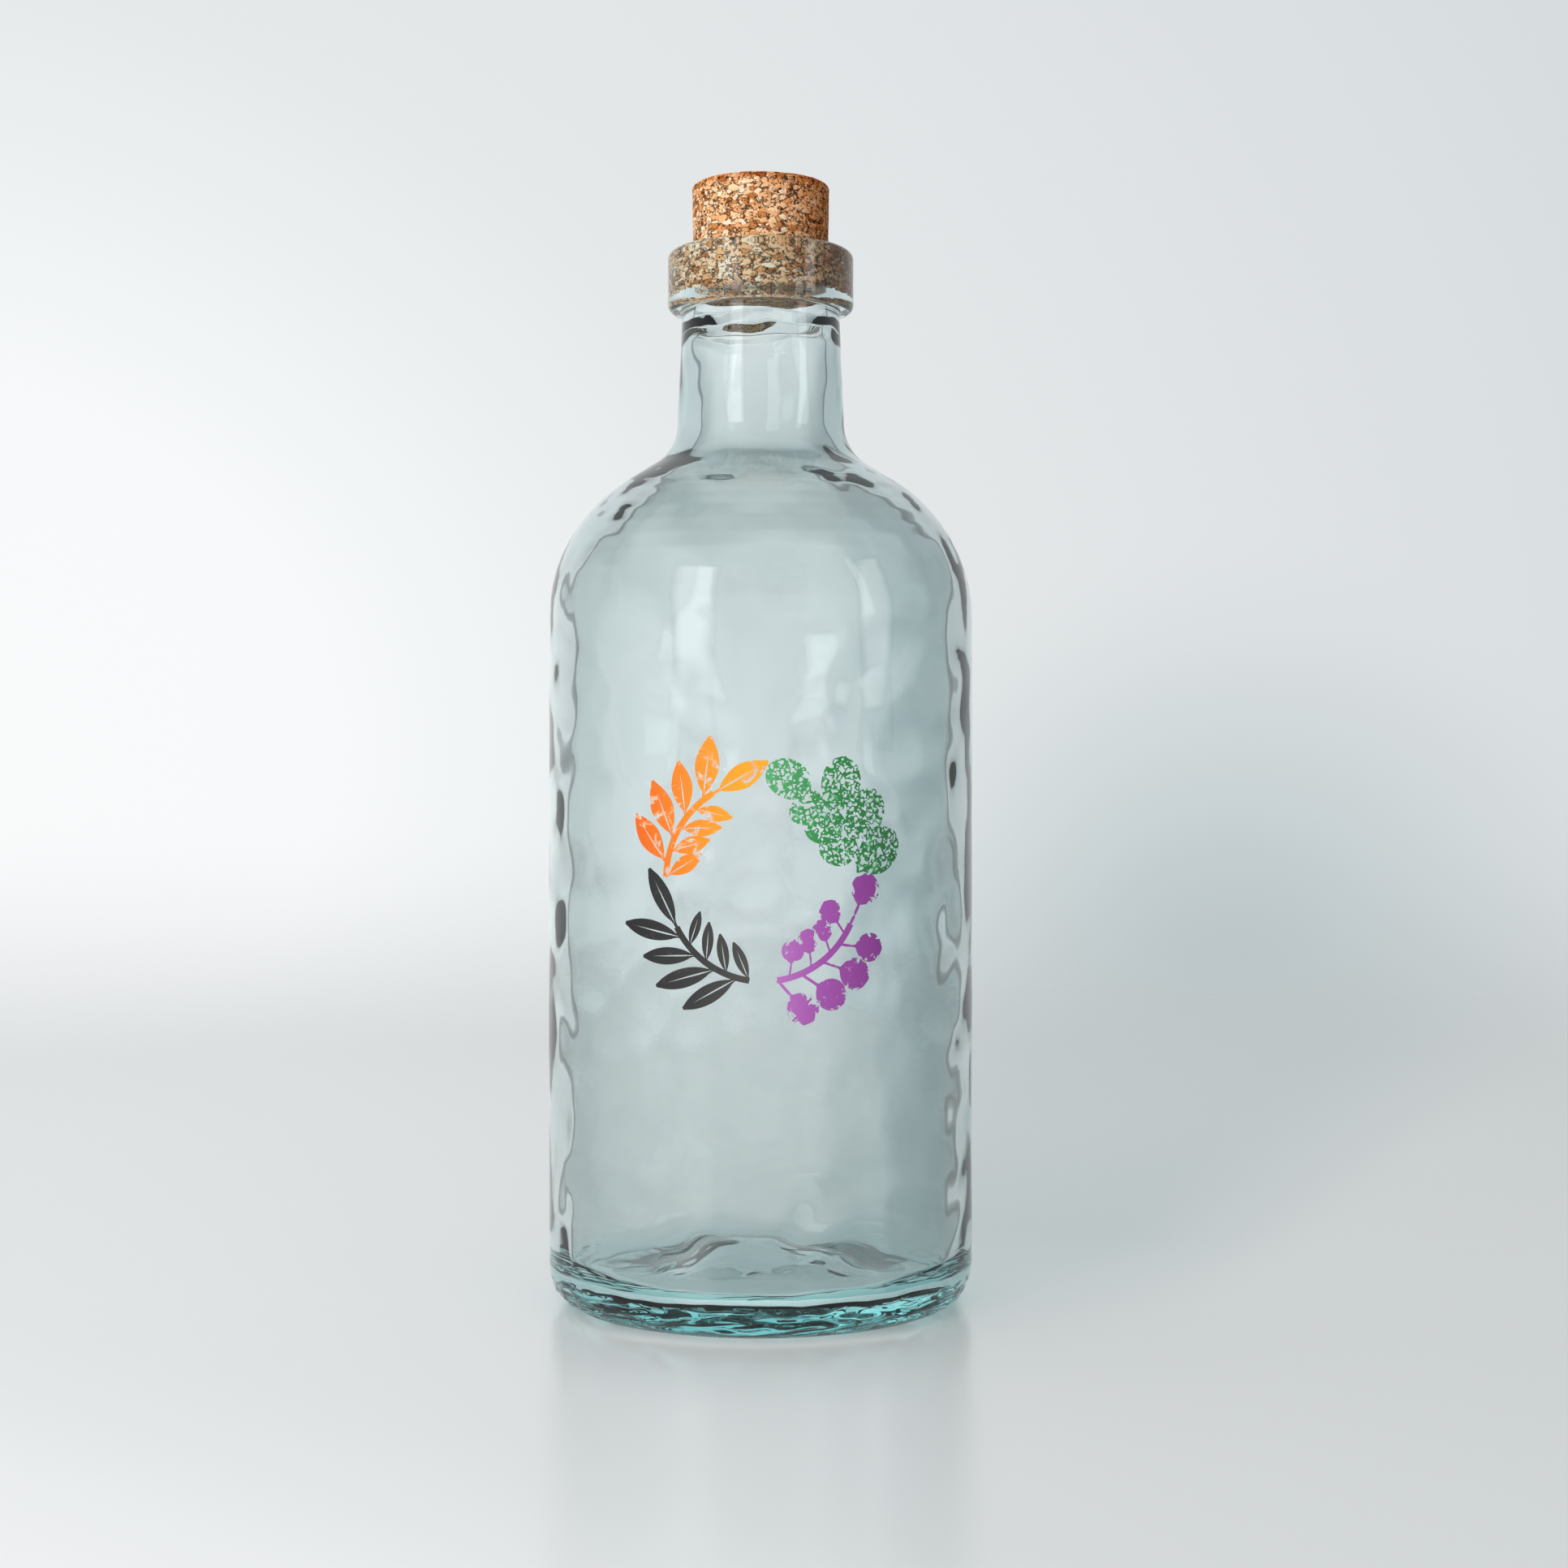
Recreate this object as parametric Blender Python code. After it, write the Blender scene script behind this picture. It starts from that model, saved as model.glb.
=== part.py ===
# Round half-litre bottle of heavy moulded glass, closed by a tapered stopper of pressed cork.
# Metres, +Z up. The origin is the centre of the ring the bottle stands on, and the front faces -Y.
# The stopper lifts straight out along +Z.
import math

import bmesh
import bpy

for old in list(bpy.data.objects):
    bpy.data.objects.remove(old)

# Cork stopper, a cone that the mouth of the bottle is made to fit
CORK_LENGTH = 0.0210
CORK_TOP_DIAMETER = 0.0253
CORK_FOOT_DIAMETER = 0.0245
CORK_INSERTION = 0.0087
CORK_TOP_ROUND = 0.0009
CORK_FOOT_ROUND = 0.0005

# Mouth and collar
CORK_CLEARANCE = 0.0003
SEAT_STEP = 0.0007
SEAT_LENGTH = 0.0050
SEAT_ROUND = 0.0040
LIP_WIDTH = 0.0044
LIP_EDGE_ROUND = 0.0005
COLLAR_HEIGHT = 0.0109
COLLAR_TOP_ROUND = 0.0028
COLLAR_UNDER_ROUND = 0.0021

# Neck
NECK_LENGTH = 0.0258
NECK_TOP_WALL = 0.0028
NECK_FOOT_WALL = 0.0039
NECK_FOOT_ROUND = 0.0092

# Body and shoulder
BODY_DIAMETER = 0.0780
SIDE_HEIGHT = 0.1252
SIDE_WALL = 0.0036
SHOULDER_WALL = 0.0034
SHOULDER_ROUND = 0.0293
SHOULDER_SLOPE = math.radians(31.9)

# Base, with a shallow push-up under it
HEEL_REACH = 0.0062
HEEL_HEIGHT = 0.0076
STANDING_RING_WIDTH = 0.0050
PUSH_UP_HEIGHT = 0.0040
FLOOR_THICKNESS = 0.0056
INNER_HEEL_ROUND = 0.0060

# Fineness of the turned shapes: a chord strays this far from its arc at most
ARC_SAG = 0.00008
ROUND_SEGMENTS = 64
HUMP_STEPS = 6
SHARP_ANGLE = math.radians(35)
MERGE_DISTANCE = 0.00001

# Finishes: base colour with alpha, roughness and the share of light let through
GLASS_FINISH = {"color": (0.62, 0.76, 0.77, 1.0), "roughness": 0.03, "transmission": 1.0}
CORK_FINISH = {"color": (0.55, 0.28, 0.11, 1.0), "roughness": 0.85, "transmission": 0.0}


def cork_radius(above_foot):
    # Radius of the cork's cone at a height above its foot
    rise_share = above_foot / CORK_LENGTH
    return (CORK_FOOT_DIAMETER + (CORK_TOP_DIAMETER - CORK_FOOT_DIAMETER) * rise_share) / 2


def corner_reach(before, corner, after, round_radius):
    # How far a rounding of this radius runs along each leg of its corner
    to_before = math.atan2(before[1] - corner[1], before[0] - corner[0])
    to_after = math.atan2(after[1] - corner[1], after[0] - corner[0])
    between = abs((to_after - to_before + math.pi) % math.tau - math.pi)
    return round_radius / math.tan(between / 2)


def rounded_outline(corners):
    # Outline through (radius, height, rounding) corners. Two roundings that meet on a short leg share it.
    legs = [math.dist(a[:2], b[:2]) for a, b in zip(corners, corners[1:])]
    reaches = [0.0]
    for before, corner, after in zip(corners, corners[1:], corners[2:]):
        reaches.append(corner_reach(before, corner, after, corner[2]) if corner[2] else 0.0)
    reaches.append(0.0)
    limits = [min(1.0, leg / (a + b)) if a + b else 1.0 for leg, a, b in zip(legs, reaches, reaches[1:])]
    points = [corners[0][:2]]
    for i in range(1, len(corners) - 1):
        reach = reaches[i] * min(limits[i - 1], limits[i])
        points += arc_at_corner(corners[i - 1], corners[i], corners[i + 1], reach)
    return points + [corners[-1][:2]]


def arc_at_corner(before, corner, after, reach):
    # Arc that touches both legs of a corner at this reach, or the bare corner
    if not reach:
        return [corner[:2]]
    start = toward(corner, before, reach)
    end = toward(corner, after, reach)
    middle = ((start[0] + end[0]) / 2, (start[1] + end[1]) / 2)
    half_chord = math.dist(start, middle)
    to_middle = math.dist(corner[:2], middle)
    centre = toward(corner, middle, to_middle + half_chord * half_chord / to_middle)
    radius = math.dist(centre, start)
    first = math.atan2(start[1] - centre[1], start[0] - centre[0])
    last = math.atan2(end[1] - centre[1], end[0] - centre[0])
    turn = (last - first + math.pi) % math.tau - math.pi
    steps = arc_steps(radius, turn)
    angles = [first + turn * i / steps for i in range(steps + 1)]
    return [(centre[0] + radius * math.cos(a), centre[1] + radius * math.sin(a)) for a in angles]


def arc_steps(radius, turn):
    # Chords that an arc of this turn needs
    chord_turn = 2 * math.acos(1 - min(ARC_SAG / radius, 1))
    return math.ceil(abs(turn) / chord_turn)


def toward(start, end, distance):
    # The point at this distance from start on the line to end
    share = distance / math.dist(start[:2], end[:2])
    return (start[0] + (end[0] - start[0]) * share, start[1] + (end[1] - start[1]) * share)


def quarter_ellipse(top, foot):
    # From an upright tangent at top, down and inwards to a level tangent at foot
    wide, high = top[0] - foot[0], top[1] - foot[1]
    steps = arc_steps(max(wide, high), math.pi / 2)
    angles = [math.pi / 2 * i / steps for i in range(steps + 1)]
    return [(foot[0] + wide * math.cos(a), top[1] - high * math.sin(a)) for a in angles]


def hump(edge_radius, edge_height, rise):
    # A smooth low hill from its top on the axis out to its level edge
    points = []
    for i in range(HUMP_STEPS + 1):
        out_share = i / HUMP_STEPS
        lift = rise * (1 + math.cos(math.pi * out_share)) / 2
        points.append((edge_radius * out_share, edge_height + lift))
    return points


def turned_object(name, outline, finish):
    # Turns an outline that starts and ends on the Z axis into a closed solid of its own material
    work = bmesh.new()
    verts = [work.verts.new((radius, 0, height)) for radius, height in outline]
    edges = [work.edges.new(pair) for pair in zip(verts, verts[1:])]
    bmesh.ops.spin(
        work,
        geom=verts + edges,
        cent=(0, 0, 0),
        axis=(0, 0, 1),
        angle=math.tau,
        steps=ROUND_SEGMENTS,
        use_merge=True,
    )
    bmesh.ops.remove_doubles(work, verts=work.verts, dist=MERGE_DISTANCE)
    bmesh.ops.recalc_face_normals(work, faces=work.faces)
    mesh = bpy.data.meshes.new(name)
    work.to_mesh(mesh)
    work.free()
    mesh.shade_smooth()
    mesh.set_sharp_from_angle(angle=SHARP_ANGLE)
    mesh.materials.append(principled(name, finish))
    piece = bpy.data.objects.new(name, mesh)
    bpy.context.collection.objects.link(piece)


def principled(name, finish):
    material = bpy.data.materials.new(name)
    material.use_nodes = True
    shader = material.node_tree.nodes["Principled BSDF"]
    shader.inputs["Base Color"].default_value = finish["color"]
    shader.inputs["Roughness"].default_value = finish["roughness"]
    shader.inputs["Metallic"].default_value = 0
    shader.inputs["Transmission Weight"].default_value = finish["transmission"]
    return material


# Heights of the bottle, stacked from the base up
body_radius = BODY_DIAMETER / 2
mouth_foot_radius = cork_radius(0) + CORK_CLEARANCE
mouth_top_radius = cork_radius(CORK_INSERTION) + CORK_CLEARANCE
neck_bore_radius = mouth_foot_radius - SEAT_STEP
neck_top_radius = neck_bore_radius + NECK_TOP_WALL
neck_foot_radius = neck_bore_radius + NECK_FOOT_WALL
collar_radius = mouth_top_radius + LIP_WIDTH
cone_foot_height = SIDE_HEIGHT + SHOULDER_ROUND * math.tan((math.pi / 2 - SHOULDER_SLOPE) / 2)
cone_top_height = cone_foot_height + (body_radius - neck_foot_radius) * math.tan(SHOULDER_SLOPE)
collar_foot_height = cone_top_height + NECK_LENGTH
lip_height = collar_foot_height + COLLAR_HEIGHT
cork_foot_height = lip_height - CORK_INSERTION


def inner_cone_height(radius):
    # Height of the shoulder's inner face, which keeps the wall's thickness square to the slope
    face_radius = body_radius - SHOULDER_WALL * math.sin(SHOULDER_SLOPE)
    face_height = cone_foot_height - SHOULDER_WALL * math.cos(SHOULDER_SLOPE)
    return face_height + (face_radius - radius) * math.tan(SHOULDER_SLOPE)


# The glass, from the middle of its floor up the inside, over the lip and down the outside
inner_radius = body_radius - SIDE_WALL
floor_edge_radius = inner_radius - INNER_HEEL_ROUND
floor_height = FLOOR_THICKNESS
ring_outer_radius = body_radius - HEEL_REACH
ring_inner_radius = ring_outer_radius - STANDING_RING_WIDTH
wall_corners = [
    (floor_edge_radius, floor_height, 0),
    (inner_radius, floor_height, INNER_HEEL_ROUND),
    (inner_radius, inner_cone_height(inner_radius), SHOULDER_ROUND - SIDE_WALL),
    (neck_bore_radius, inner_cone_height(neck_bore_radius), NECK_FOOT_ROUND + NECK_TOP_WALL),
    (neck_bore_radius, cork_foot_height - SEAT_LENGTH, SEAT_ROUND),
    (mouth_foot_radius, cork_foot_height, 0),
    (mouth_top_radius, lip_height, LIP_EDGE_ROUND),
    (collar_radius, lip_height, COLLAR_TOP_ROUND),
    (collar_radius, collar_foot_height, COLLAR_UNDER_ROUND),
    (neck_top_radius, collar_foot_height, 0),
    (neck_foot_radius, cone_top_height, NECK_FOOT_ROUND),
    (body_radius, cone_foot_height, SHOULDER_ROUND),
    (body_radius, HEEL_HEIGHT, 0),
]
glass_outline = hump(floor_edge_radius, floor_height, PUSH_UP_HEIGHT)[:-1]
glass_outline += rounded_outline(wall_corners)[:-1]
glass_outline += quarter_ellipse((body_radius, HEEL_HEIGHT), (ring_outer_radius, 0))
glass_outline += reversed(hump(ring_inner_radius, 0, PUSH_UP_HEIGHT))
turned_object("glass_bottle", glass_outline, GLASS_FINISH)

# The cork, from the middle of its foot out and up to the middle of its top
cork_top_height = cork_foot_height + CORK_LENGTH
cork_corners = [
    (0, cork_foot_height, 0),
    (cork_radius(0), cork_foot_height, CORK_FOOT_ROUND),
    (cork_radius(CORK_LENGTH), cork_top_height, CORK_TOP_ROUND),
    (0, cork_top_height, 0),
]
turned_object("cork_stopper", rounded_outline(cork_corners), CORK_FINISH)
print(f"lip at {lip_height:.5f} m, cork from {cork_foot_height:.5f} to {cork_top_height:.5f} m")
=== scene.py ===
import math
from functools import partial

import bmesh
import bpy
from mathutils import Euler, Matrix, Vector


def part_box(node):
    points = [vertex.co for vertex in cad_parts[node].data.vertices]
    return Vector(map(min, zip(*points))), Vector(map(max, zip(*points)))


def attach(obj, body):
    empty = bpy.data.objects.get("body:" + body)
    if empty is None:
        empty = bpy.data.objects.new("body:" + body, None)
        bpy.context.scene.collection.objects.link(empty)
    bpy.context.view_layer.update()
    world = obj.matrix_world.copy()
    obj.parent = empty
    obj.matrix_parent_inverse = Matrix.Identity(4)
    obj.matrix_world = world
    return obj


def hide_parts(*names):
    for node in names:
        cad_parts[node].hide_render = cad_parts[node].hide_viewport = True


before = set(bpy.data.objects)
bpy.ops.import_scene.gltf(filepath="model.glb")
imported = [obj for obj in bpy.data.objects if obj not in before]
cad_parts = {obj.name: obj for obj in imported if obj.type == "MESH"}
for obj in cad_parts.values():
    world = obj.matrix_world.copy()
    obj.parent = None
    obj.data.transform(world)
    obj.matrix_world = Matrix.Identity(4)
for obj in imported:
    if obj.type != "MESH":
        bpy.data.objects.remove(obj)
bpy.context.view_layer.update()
print("frame loaded:", sorted(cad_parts))

# The kinds of node and the settings that are used most
maths = "ShaderNodeMath"
vectors = "ShaderNodeVectorMath"
combine = "ShaderNodeCombineXYZ"
separate = "ShaderNodeSeparateXYZ"
mapRange = "ShaderNodeMapRange"
mix = "ShaderNodeMix"
noise = "ShaderNodeTexNoise"
times = {"operation": "MULTIPLY"}
timesPlus = {"operation": "MULTIPLY_ADD"}
softly = {"interpolation_type": "SMOOTHSTEP"}
inColour = {"output": "Result", "data_type": "RGBA"}


def colour(hexCode):
    # An sRGB hex colour as the linear values that shaders take
    channels = [int(hexCode[i:i + 2], 16) / 255 for i in (1, 3, 5)]
    linear = [c / 12.92 if c <= 0.04045 else ((c + 0.055) / 1.055) ** 2.4 for c in channels]
    return (*linear, 1.0)


def addNode(tree, kind, sockets=None, output=0, stops=(), **settings):
    # Adds a node. Its sockets, by name or in order, take values or other nodes' outputs to link. A colour ramp
    # takes (place, hex colour) stops. Gives one output, or the node itself.
    node = tree.nodes.new(kind)
    for name, value in settings.items():
        setattr(node, name, value)
    for name, value in (sockets if isinstance(sockets, dict) else dict(enumerate(sockets or ()))).items():
        if isinstance(value, bpy.types.NodeSocket):
            tree.links.new(value, node.inputs[name])
        else:
            node.inputs[name].default_value = value
    for i, (place, hexCode) in enumerate(stops):
        marks = node.color_ramp.elements
        mark = marks[i] if i < 2 else marks.new(1.0)
        mark.position, mark.color = place, colour(hexCode)
    return node if output is None else node.outputs[output]


def newMaterial(name):
    # An empty material, and addNode for its tree
    material = bpy.data.materials.new(name)
    material.use_nodes = True
    material.node_tree.nodes.clear()
    return material, partial(addNode, material.node_tree)


def newObject(name, data):
    piece = bpy.data.objects.new(name, data)
    bpy.context.scene.collection.objects.link(piece)
    return piece


def newNodeGroup(name, inputs):
    # A geometry tree with a geometry socket each way, a material input and number inputs with their defaults.
    # Gives the tree, addNode for it, and its inputs.
    tree = bpy.data.node_groups.new(name, "GeometryNodeTree")
    tree.interface.new_socket("Geometry", in_out="INPUT", socket_type="NodeSocketGeometry")
    tree.interface.new_socket("Geometry", in_out="OUTPUT", socket_type="NodeSocketGeometry")
    for label, value in inputs.items():
        kind = "NodeSocketInt" if isinstance(value, int) else "NodeSocketFloat"
        tree.interface.new_socket(label, in_out="INPUT", socket_type=kind).default_value = value
    tree.interface.new_socket("Material", in_out="INPUT", socket_type="NodeSocketMaterial")
    add = partial(addNode, tree)
    return tree, add, add("NodeGroupInput", None, None).outputs


def closeTree(add, geometry, material):
    # Every tree ends as one smooth real mesh with its material
    smooth = add("GeometryNodeSetShadeSmooth", {"Geometry": geometry})
    whole = add("GeometryNodeRealizeInstances", {"Geometry": smooth})
    dressed = add("GeometryNodeSetMaterial", {"Geometry": whole, "Material": material})
    add("NodeGroupOutput", [dressed], None)


def grow(name, startMesh, tree, inputs, mergeDistance=0.000004):
    # Runs a geometry tree on a mesh, with the inputs that it knows by name, and keeps the result as a plain
    # closed mesh with its faces outward
    holder = newObject(name + "Grower", startMesh)
    modifier = holder.modifiers.new("grow", "NODES")
    modifier.node_group = tree
    for item in tree.interface.items_tree:
        if item.in_out == "INPUT" and item.name in inputs:
            modifier[item.identifier] = inputs[item.name]
    ready = holder.evaluated_get(bpy.context.evaluated_depsgraph_get())
    mesh = bpy.data.meshes.new_from_object(ready)
    mesh.name = name
    holder.modifiers.remove(modifier)
    bpy.data.objects.remove(holder)
    work = bmesh.new()
    work.from_mesh(mesh)
    bmesh.ops.remove_doubles(work, verts=work.verts, dist=mergeDistance)
    bmesh.ops.recalc_face_normals(work, faces=work.faces)
    work.to_mesh(mesh)
    work.free()
    mesh.set_sharp_from_angle(angle=math.radians(65))
    return newObject(name, mesh)


# Outlines of the turned shapes, as (radius, height) points in metres


def toward(start, end, distance):
    share = distance / math.dist(start, end)
    return (start[0] + (end[0] - start[0]) * share, start[1] + (end[1] - start[1]) * share)


def roundCorner(before, corner, after, radius, stepAngle):
    # Arc of this radius that touches both legs of a corner
    toBefore = math.atan2(before[1] - corner[1], before[0] - corner[0])
    toAfter = math.atan2(after[1] - corner[1], after[0] - corner[0])
    between = abs((toAfter - toBefore + math.pi) % math.tau - math.pi)
    reach = radius / math.tan(between / 2)
    start, end = toward(corner, before, reach), toward(corner, after, reach)
    middle = ((start[0] + end[0]) / 2, (start[1] + end[1]) / 2)
    centre = toward(corner, middle, radius / math.sin(between / 2))
    first = math.atan2(start[1] - centre[1], start[0] - centre[0])
    turn = math.atan2(end[1] - centre[1], end[0] - centre[0]) - first
    turn = (turn + math.pi) % math.tau - math.pi
    steps = max(2, math.ceil(abs(turn) / stepAngle))
    angles = [first + turn * i / steps for i in range(steps + 1)]
    return [(centre[0] + radius * math.cos(a), centre[1] + radius * math.sin(a)) for a in angles]


def roundedLine(corners, stepAngle):
    # Corners are (radius, height, rounding)
    points = [corners[0][:2]]
    for before, corner, after in zip(corners, corners[1:], corners[2:]):
        if corner[2]:
            points += roundCorner(before[:2], corner[:2], after[:2], corner[2], stepAngle)
        else:
            points.append(corner[:2])
    return points + [corners[-1][:2]]


def refined(points, longest):
    # The same line with no stretch longer than this, and without points that all but coincide
    fine = [points[0]]
    for start, end in zip(points, points[1:]):
        length = math.dist(start, end)
        if length < longest / 100:
            continue
        steps = math.ceil(length / longest)
        fine += [toward(start, end, length * i / steps) for i in range(1, steps + 1)]
    return fine


def smoothStep(distance, reach):
    # 0 up to no distance, 1 from the reach on, and smooth between
    share = min(max(distance / reach, 0), 1)
    return share * share * (3 - 2 * share)


def outlineMesh(name, points, marks):
    # A chain of edges that carries each point's outward direction and its marks, such as its share of the waves
    mesh = bpy.data.meshes.new(name)
    mesh.from_pydata([(r, 0, z) for r, z in points], [(i, i + 1) for i in range(len(points) - 1)], [])
    last = len(points) - 1
    outward = []
    for i in range(len(points)):
        a, b = points[max(i - 1, 0)], points[min(i + 1, last)]
        length = math.dist(a, b)
        outward += [(a[1] - b[1]) / length, 0, (b[0] - a[0]) / length]
    mesh.attributes.new("outward", "FLOAT_VECTOR", "POINT").data.foreach_set("vector", outward)
    for label, values in marks.items():
        mesh.attributes.new(label, "FLOAT", "POINT").data.foreach_set("value", values)
    return mesh


def softWaves(add, place, given, size, taller):
    # Height of soft waves of this length at a place, up to about the wave height each way. The noise itself
    # keeps to about a quarter either side of 0.5.
    stretch = add(maths, [1.0, taller], operation="DIVIDE")
    scale = add(maths, [1.0, size], operation="DIVIDE")
    factors = add(combine, [1.0, 1.0, stretch])
    squeezed = add(vectors, [place, factors], **times)
    settings = {"Vector": squeezed, "W": given["seed"], "Scale": scale, "Detail": 0.8, "Roughness": 0.35}
    swell = add(noise, settings, noise_dimensions="4D")
    centred = add(maths, [swell, 4.0, -2.0], **timesPlus)
    return add(maths, [centred, given["waveHeight"]], **times)


# Pressed cork: chips about 1.4 mm wide and 0.9 mm tall, a third of them broken into 0.7 mm crumbs. Scales are
# per metre, and the other lengths in metres.
granule = {
    "wanderScale": 1400.0,
    "wander": (0.0008, 0.0008, 0.0008),
    "flattening": (1.0, 1.0, 1.6),
    "scales": (700.0, 1500.0),
    "brokenShare": 0.35,
    "crumbGapShare": 0.42,
    "patchScale": 1500.0,
    "patchFrom": (0.42, 0.68),
    "gapReach": (0.014, 0.22),
}


def granules(add, place):
    # Gives a random number for each chip, and how deep the dark gap between chips is
    wander = add(noise, {"Vector": place, "Scale": granule["wanderScale"], "Detail": 2.0}, "Color")
    centred = add(vectors, [wander, (0.5, 0.5, 0.5)], operation="SUBTRACT")
    bent = add(vectors, [centred, granule["wander"], place], **timesPlus)
    squeezed = add(vectors, [bent, granule["flattening"]], **times)
    found = []
    for scale in granule["scales"]:
        settings = {"Vector": squeezed, "Scale": scale}
        random = add("ShaderNodeTexVoronoi", settings, "Color")
        found.append(add(separate, [random], None).outputs)
        found.append(add("ShaderNodeTexVoronoi", settings, "Distance", feature="DISTANCE_TO_EDGE"))
    chip, chipEdge, crumb, crumbEdge = found
    broken = add(maths, [chip[1], granule["brokenShare"]], operation="LESS_THAN")
    tone = add(mix, {"Factor": broken, 2: chip[0], 3: crumb[0]})
    wide = add(maths, [crumbEdge, granule["crumbGapShare"]], **times)
    near = add(maths, [wide, chipEdge], operation="MINIMUM")
    edge = add(mix, {"Factor": broken, 2: chipEdge, 3: near})
    patches = add(noise, {"Vector": place, "Scale": granule["patchScale"], "Detail": 1.0})
    reach = add(mapRange, [patches, *granule["patchFrom"], *granule["gapReach"]])
    gap = add(mapRange, [edge, 0.0, reach, 1.0, 0.0])
    return tone, gap


def turnTree():
    # Turns an outline about the Z axis, and pushes its points in or out by soft waves and by the cork's gaps
    tree, add, given = newNodeGroup("turnOutline", {
        "segments": 64, "rings": 64, "waveHeight": 0.0002, "waveLength": 0.015, "waveStretch": 1.5,
        "rippleShare": 0.36, "rippleStretch": 1.0, "liftShare": 0.55, "gapDepth": 0.0, "seed": 0.0,
    })
    columns = add(maths, [given["segments"], 1.0])
    grid = add("GeometryNodeMeshGrid", {"Vertices X": columns, "Vertices Y": given["rings"]})
    index = add("GeometryNodeInputIndex")
    middle = add(maths, [index, 0.5])
    share = add(maths, [middle, given["rings"]], operation="DIVIDE")
    column = add(maths, [share], operation="FLOOR")
    passed = add(maths, [column, given["rings"]], **times)
    ring = add(maths, [index, passed], operation="SUBTRACT")
    turnShare = add(maths, [column, given["segments"]], operation="DIVIDE")
    angle = add(maths, [turnShare, math.tau], **times)
    found = {}
    for label in ("position", "outward", "waves", "ripples", "lifts", "inside"):
        kind = "FLOAT_VECTOR" if label in ("position", "outward") else "FLOAT"
        field = add("GeometryNodeInputNamedAttribute", {"Name": label}, data_type=kind)
        taken = {"Geometry": given["Geometry"], "Value": field, "Index": ring}
        found[label] = add("GeometryNodeSampleIndex", taken, data_type=kind)
    for label in ("position", "outward"):
        turned = {"Vector": found[label], "Angle": angle}
        found[label] = add("ShaderNodeVectorRotate", turned, rotation_type="Z_AXIS")
    place = found["position"]
    height = add(maths, [granules(add, place)[1], given["gapDepth"]], **times)
    rippleLength = add(maths, [given["waveLength"], given["rippleShare"]], **times)
    for label, size, taller, joining in (
        ("waves", given["waveLength"], "waveStretch", "SUBTRACT"),
        ("ripples", rippleLength, "rippleStretch", "ADD"),
    ):
        waves = softWaves(add, place, given, size, given[taller])
        shared = add(maths, [waves, found[label]], **times)
        height = add(maths, [shared, height], operation=joining)
    push = add(vectors, {0: found["outward"], "Scale": height}, operation="SCALE")
    liftLength = add(maths, [given["waveLength"], given["liftShare"]], **times)
    sag = softWaves(add, place, given, liftLength, given["waveStretch"])
    lift = add(maths, [sag, found["lifts"]], **times)
    raised = add(vectors, [place, add(combine, {2: lift})])
    moved = add(vectors, [raised, push])
    shaped = add("GeometryNodeSetPosition", {"Geometry": grid, "Position": moved})
    stored = {"Geometry": shaped, "Name": "inside", "Value": found["inside"]}
    marked = add("GeometryNodeStoreNamedAttribute", stored, data_type="FLOAT")
    closeTree(add, marked, given["Material"])
    return tree


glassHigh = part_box("glass_bottle")[1]
corkLow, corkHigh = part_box("cork_stopper")
turner = turnTree()

# The glass bottle, turned from one outline, with the soft waves that moulding leaves inside it
bottle = {
    "inset": 0.00012,
    "sideWall": 0.0036,
    "shoulderWall": 0.0034,
    "shoulderRound": 0.0293,
    "shoulderSlope": math.radians(31.9),
    "sideHeight": 0.1252,
    "neckFootWall": 0.0039,
    "neckTopWall": 0.0028,
    "neckFootRound": 0.0092,
    "neckBore": 0.02340,
    "collarHeight": 0.0109,
    "collarRadius": 0.01712,
    "collarTopRound": 0.0014,
    "collarUnderRound": 0.0013,
    "collarUnderEdge": 0.0004,
    "mouthFoot": 0.02434,
    "mouthTop": 0.02458,
    "lipEdgeRound": 0.0005,
    "beadFoot": 0.0084,
    "beadCrest": 0.0060,
    "beadTop": 0.0042,
    "beadRise": 0.00060,
    "beadRound": 0.0007,
    "beadFootRound": 0.0040,
    "beadLift": 3.0,
    "beadReach": 0.0040,
    "skirt": 0.02458,
    "heelReach": 0.0062,
    "heelHeight": 0.0076,
    "ringWidth": 0.0050,
    "pushUp": 0.0052,
    "domeRise": 0.0054,
    "domeRadius": 0.0265,
    "floorThickness": 0.0054,
    "innerHeelRound": 0.0055,
    "segments": 200,
    "ringStep": 0.00135,
    "arcStep": math.radians(6),
    "domeSteps": 32,
    "heelSteps": 26,
    "waveHeight": 0.00026,
    "waveLength": 0.0100,
    "waveStretch": 1.0,
    "outerWaveShare": 0.34,
    "floorWaveShare": 0.55,
    "floorRippleShare": 0.15,
    "heelRippleShare": 1.2,
    "underRippleShare": 0.5,
    "rippleStretch": 0.30,
    "seed": 4.0,
    # Where the waves and ripples set in or die away: a start, and the reach from there
    "floorCalm": 0.004,
    "floorFade": 0.014,
    "mouthCalm": 0.001,
    "mouthFade": 0.003,
    "collarFade": 0.006,
    "heelFade": 0.008,
    "ringFade": 0.008,
    "rippleRise": 0.002,
    "rippleCalm": 0.003,
    "rippleFade": 0.004,
}


def hill(radius, footRadius, rise):
    # Height of a smooth round hill at this distance from its middle
    return rise * (1 + math.cos(math.pi * min(radius / footRadius, 1))) / 2


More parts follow.
